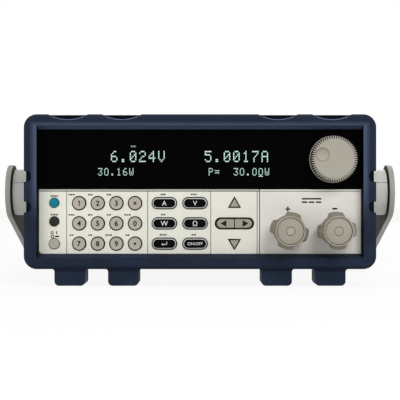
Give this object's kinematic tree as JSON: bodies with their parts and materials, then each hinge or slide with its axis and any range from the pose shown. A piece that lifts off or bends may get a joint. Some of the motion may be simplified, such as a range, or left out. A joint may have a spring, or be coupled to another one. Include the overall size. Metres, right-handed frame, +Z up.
{
  "type": "dc electronic load",
  "caption": "Bench DC electronic load: boxy half-width case with rubber bumpers, swing handle, dark readout window, keypad, rotary knob and a pair of input terminals.",
  "frame": {"origin": "on the table plane under the feet, at the middle of the width and of the depth", "axes": "+X to the right of the front panel, +Y from the front panel to the rear, +Z up"},
  "size_m": [0.2672, 0.3856, 0.1118],
  "materials": {
    "key_cap": "satin",
    "black_key": "satin",
    "teal_key": "satin",
    "dark_key": "satin",
    "panel_plastic": "fine texture",
    "bumper_rubber": "satin",
    "handle_plastic": "fine texture",
    "knob_plastic": "satin",
    "case_paint": "fine texture",
    "window_plastic": "polished",
    "tube_glass": "polished",
    "board": "satin",
    "mat_rubber": "matte",
    "sink_aluminium": "extruded",
    "terminal_block": "satin",
    "black_plastic": "satin",
    "contact_brass": "plated",
    "steel": "plated"
  },
  "bodies": {
    "case": {"bottom_chassis": "steel", "top_cover": "case_paint", "rear_panel": "case_paint", "front_panel": "panel_plastic", "display_window": "window_plastic", "terminal_panel": "panel_plastic", "front_bumper": "bumper_rubber", "rear_bumper": "bumper_rubber", "handle_hubs": "handle_plastic", "handle_pivots": "steel", "encoder_body": "steel", "terminal_studs": "contact_brass", "display_tube": "tube_glass", "keypad_mat": "mat_rubber", "front_board": "board", "main_board": "board", "transformer": "steel", "heatsink": "sink_aluminium", "power_transistors": "black_plastic", "fan_frame": "black_plastic", "fan_guard": "steel", "power_switch": "black_plastic", "mains_inlet": "black_plastic", "serial_port": "steel", "usb_port": "steel", "sense_terminals": "terminal_block", "case_screws": "steel"},
    "key_1_body": {"key_1": "key_cap"},
    "key_2_body": {"key_2": "key_cap"},
    "key_3_body": {"key_3": "key_cap"},
    "key_escape_body": {"key_escape": "key_cap"},
    "key_4_body": {"key_4": "key_cap"},
    "key_5_body": {"key_5": "key_cap"},
    "key_6_body": {"key_6": "key_cap"},
    "key_0_body": {"key_0": "key_cap"},
    "key_7_body": {"key_7": "key_cap"},
    "key_8_body": {"key_8": "key_cap"},
    "key_9_body": {"key_9": "key_cap"},
    "key_point_body": {"key_point": "key_cap"},
    "key_current_body": {"key_current": "black_key"},
    "key_voltage_body": {"key_voltage": "black_key"},
    "key_power_body": {"key_power": "black_key"},
    "key_resistance_body": {"key_resistance": "black_key"},
    "key_enter_body": {"key_enter": "black_key"},
    "key_on_off_body": {"key_on_off": "black_key"},
    "key_up_body": {"key_up": "key_cap"},
    "key_down_body": {"key_down": "key_cap"},
    "key_left_body": {"key_left": "key_cap"},
    "key_right_body": {"key_right": "key_cap"},
    "key_shift_body": {"key_shift": "teal_key"},
    "key_local_body": {"key_local": "dark_key"},
    "power_button_body": {"power_button": "key_cap"},
    "knob": {"rotary_knob": "knob_plastic", "encoder_shaft": "steel"},
    "washer_positive_body": {"washer_positive": "contact_brass"},
    "thumb_nut_positive_body": {"thumb_nut_positive": "knob_plastic"},
    "washer_negative_body": {"washer_negative": "contact_brass"},
    "thumb_nut_negative_body": {"thumb_nut_negative": "knob_plastic"},
    "handle": {"handle_bail": "handle_plastic"},
    "fan": {"fan_rotor": "black_plastic"}
  },
  "joints": [
    {"name": "key_1_press", "type": "slide", "parent": "case", "child": "key_1_body", "axis": [0, 1, 0], "range_m": [0, 0.0008], "stiffness_N_per_m": 1500},
    {"name": "key_2_press", "type": "slide", "parent": "case", "child": "key_2_body", "axis": [0, 1, 0], "range_m": [0, 0.0008], "stiffness_N_per_m": 1500},
    {"name": "key_3_press", "type": "slide", "parent": "case", "child": "key_3_body", "axis": [0, 1, 0], "range_m": [0, 0.0008], "stiffness_N_per_m": 1500},
    {"name": "key_escape_press", "type": "slide", "parent": "case", "child": "key_escape_body", "axis": [0, 1, 0], "range_m": [0, 0.0008], "stiffness_N_per_m": 1500},
    {"name": "key_4_press", "type": "slide", "parent": "case", "child": "key_4_body", "axis": [0, 1, 0], "range_m": [0, 0.0008], "stiffness_N_per_m": 1500},
    {"name": "key_5_press", "type": "slide", "parent": "case", "child": "key_5_body", "axis": [0, 1, 0], "range_m": [0, 0.0008], "stiffness_N_per_m": 1500},
    {"name": "key_6_press", "type": "slide", "parent": "case", "child": "key_6_body", "axis": [0, 1, 0], "range_m": [0, 0.0008], "stiffness_N_per_m": 1500},
    {"name": "key_0_press", "type": "slide", "parent": "case", "child": "key_0_body", "axis": [0, 1, 0], "range_m": [0, 0.0008], "stiffness_N_per_m": 1500},
    {"name": "key_7_press", "type": "slide", "parent": "case", "child": "key_7_body", "axis": [0, 1, 0], "range_m": [0, 0.0008], "stiffness_N_per_m": 1500},
    {"name": "key_8_press", "type": "slide", "parent": "case", "child": "key_8_body", "axis": [0, 1, 0], "range_m": [0, 0.0008], "stiffness_N_per_m": 1500},
    {"name": "key_9_press", "type": "slide", "parent": "case", "child": "key_9_body", "axis": [0, 1, 0], "range_m": [0, 0.0008], "stiffness_N_per_m": 1500},
    {"name": "key_point_press", "type": "slide", "parent": "case", "child": "key_point_body", "axis": [0, 1, 0], "range_m": [0, 0.0008], "stiffness_N_per_m": 1500},
    {"name": "key_current_press", "type": "slide", "parent": "case", "child": "key_current_body", "axis": [0, 1, 0], "range_m": [0, 0.0008], "stiffness_N_per_m": 1500},
    {"name": "key_voltage_press", "type": "slide", "parent": "case", "child": "key_voltage_body", "axis": [0, 1, 0], "range_m": [0, 0.0008], "stiffness_N_per_m": 1500},
    {"name": "key_power_press", "type": "slide", "parent": "case", "child": "key_power_body", "axis": [0, 1, 0], "range_m": [0, 0.0008], "stiffness_N_per_m": 1500},
    {"name": "key_resistance_press", "type": "slide", "parent": "case", "child": "key_resistance_body", "axis": [0, 1, 0], "range_m": [0, 0.0008], "stiffness_N_per_m": 1500},
    {"name": "key_enter_press", "type": "slide", "parent": "case", "child": "key_enter_body", "axis": [0, 1, 0], "range_m": [0, 0.0008], "stiffness_N_per_m": 1500},
    {"name": "key_on_off_press", "type": "slide", "parent": "case", "child": "key_on_off_body", "axis": [0, 1, 0], "range_m": [0, 0.0008], "stiffness_N_per_m": 1500},
    {"name": "key_up_press", "type": "slide", "parent": "case", "child": "key_up_body", "axis": [0, 1, 0], "range_m": [0, 0.0008], "stiffness_N_per_m": 1500},
    {"name": "key_down_press", "type": "slide", "parent": "case", "child": "key_down_body", "axis": [0, 1, 0], "range_m": [0, 0.0008], "stiffness_N_per_m": 1500},
    {"name": "key_left_press", "type": "slide", "parent": "case", "child": "key_left_body", "axis": [0, 1, 0], "range_m": [0, 0.0008], "stiffness_N_per_m": 1500},
    {"name": "key_right_press", "type": "slide", "parent": "case", "child": "key_right_body", "axis": [0, 1, 0], "range_m": [0, 0.0008], "stiffness_N_per_m": 1500},
    {"name": "key_shift_press", "type": "slide", "parent": "case", "child": "key_shift_body", "axis": [0, 1, 0], "range_m": [0, 0.0008], "stiffness_N_per_m": 1500},
    {"name": "key_local_press", "type": "slide", "parent": "case", "child": "key_local_body", "axis": [0, 1, 0], "range_m": [0, 0.0008], "stiffness_N_per_m": 1500},
    {"name": "power_button_press", "type": "slide", "parent": "case", "child": "power_button_body", "axis": [0, 1, 0], "range_m": [0, 0.0025], "stiffness_N_per_m": 800},
    {"name": "knob_turn", "type": "hinge", "parent": "case", "child": "knob", "pos_m": [0.08695, -0.1688, 0.0826], "axis": [0, -1, 0], "continuous": true},
    {"name": "washer_positive_slide", "type": "slide", "parent": "case", "child": "washer_positive_body", "axis": [0, -1, 0], "range_m": [0, 0.005]},
    {"name": "thumb_nut_positive_turn", "type": "hinge", "parent": "washer_positive_body", "child": "thumb_nut_positive_body", "pos_m": [0.05755, -0.1688, 0.0362], "axis": [0, -1, 0], "range_deg": [0, 1800]},
    {"name": "washer_negative_slide", "type": "slide", "parent": "case", "child": "washer_negative_body", "axis": [0, -1, 0], "range_m": [0, 0.005]},
    {"name": "thumb_nut_negative_turn", "type": "hinge", "parent": "washer_negative_body", "child": "thumb_nut_negative_body", "pos_m": [0.08825, -0.1688, 0.0362], "axis": [0, -1, 0], "range_deg": [0, 1800]},
    {"name": "handle_swing", "type": "hinge", "parent": "case", "child": "handle", "pos_m": [0, -0.1158, 0.0614], "axis": [-1, 0, 0], "range_deg": [0, 312]},
    {"name": "fan_spin", "type": "hinge", "parent": "case", "child": "fan", "pos_m": [0.05605, 0.1718, 0.0614], "axis": [0, 1, 0], "continuous": true}
  ],
  "couplings": [
    {"joint": "thumb_nut_positive_turn", "follows": "washer_positive_slide", "rad_per_m": 6283.2},
    {"joint": "thumb_nut_negative_turn", "follows": "washer_negative_slide", "rad_per_m": 6283.2}
  ]
}
